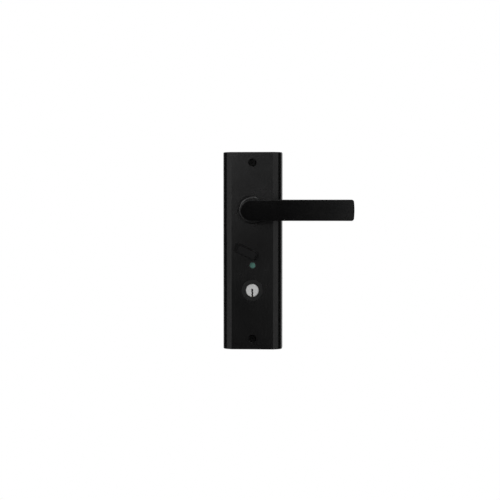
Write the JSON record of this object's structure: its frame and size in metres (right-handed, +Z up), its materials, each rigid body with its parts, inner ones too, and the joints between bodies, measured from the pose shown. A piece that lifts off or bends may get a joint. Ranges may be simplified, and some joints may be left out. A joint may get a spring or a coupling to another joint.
{
  "type": "keypad smart lock inside trim",
  "caption": "Inside half of a keypad door lock: tall satin black cover with a sprung lever handle, a thumb-turn with an indicator window, and a key override.",
  "frame": {"origin": "on the lever spindle axis, in the plane of the door face", "axes": "+Y into the door, +X to the right seen from the room, +Z up"},
  "size_m": [0.1515, 0.109, 0.23],
  "materials": {
    "cover_paint": "satin",
    "lever_paint": "satin",
    "thumb_turn_paint": "satin",
    "black_plastic": "matte",
    "nylon": "matte",
    "gasket_rubber": "matte",
    "zinc_plate": "satin",
    "black_screws": "satin",
    "steel": "satin",
    "spring_steel": "satin",
    "hub_steel": "satin",
    "magnet": "bright",
    "nickel": "satin",
    "brass": "satin",
    "flag_base": "matte",
    "flag_green": "matte",
    "flag_red": "matte",
    "lens": "clear",
    "board_green": "satin",
    "chip_black": "matte",
    "shield_tin": "satin",
    "cell_wrap": "gloss",
    "foam": "matte",
    "lead_red": "matte",
    "lead_black": "matte"
  },
  "bodies": {
    "trim": {"batteries": "cell_wrap", "battery_contacts": "spring_steel", "battery_tray": "black_plastic", "board_screws": "steel", "board_standoffs": "zinc_plate", "buzzer": "black_plastic", "cable_grommet": "gasket_rubber", "cable_socket": "black_plastic", "capacitor": "shield_tin", "cassette_screws": "steel", "chassis": "zinc_plate", "circuit_board": "board_green", "controller_chip": "chip_black", "cover": "cover_paint", "cover_pillars": "zinc_plate", "cover_screws": "black_screws", "cylinder_body": "brass", "cylinder_cap": "brass", "cylinder_screws": "steel", "detent_screw": "steel", "detent_spring": "spring_steel", "door_gasket": "gasket_rubber", "driver_pins": "brass", "foam_pads": "foam", "hall_sensor": "chip_black", "key_collar": "black_plastic", "lead_black": "lead_black", "lead_red": "lead_red", "lever_bush": "nylon", "lever_collar": "lever_paint", "pairing_button": "black_plastic", "pin_springs": "spring_steel", "power_socket": "black_plastic", "radio_module": "shield_tin", "return_spring": "spring_steel", "spring_housing": "zinc_plate", "through_bolts": "steel", "thumb_turn_bush": "nylon", "thumb_turn_rear_bush": "nylon", "tray_screws": "steel", "window_bezel": "black_plastic", "window_lens": "lens"},
    "lever": {"lever": "lever_paint", "grub_screw": "black_screws", "spindle": "steel", "lever_hub": "hub_steel", "hub_clip": "spring_steel", "hub_magnet": "magnet"},
    "thumb_turn": {"thumb_turn": "thumb_turn_paint", "thumb_turn_shaft": "steel", "thumb_turn_clip": "spring_steel", "indicator_flag": "flag_base", "flag_green": "flag_green", "flag_red": "flag_red", "flag_spacer": "nylon", "detent_cam": "hub_steel"},
    "key_plug": {"key_plug": "nickel", "key_pins": "brass", "plug_clip": "spring_steel", "tailpiece": "steel"}
  },
  "joints": [
    {"name": "lever_press", "type": "hinge", "parent": "trim", "child": "lever", "pos_m": [0, 0, 0], "axis": [0, 1, 0], "range_deg": [0, 45], "stiffness_Nm_per_rad": 0.9, "springref_deg": -25.78, "deforming": ["return_spring"]},
    {"name": "thumb_turn_turn", "type": "hinge", "parent": "trim", "child": "thumb_turn", "pos_m": [0, 0, -0.0515], "axis": [0, -1, 0], "range_deg": [0, 50], "deforming": ["detent_spring"]},
    {"name": "key_turn", "type": "hinge", "parent": "trim", "child": "key_plug", "pos_m": [0, 0, -0.0934], "axis": [0, 1, 0], "range_deg": [-90, 90]}
  ]
}
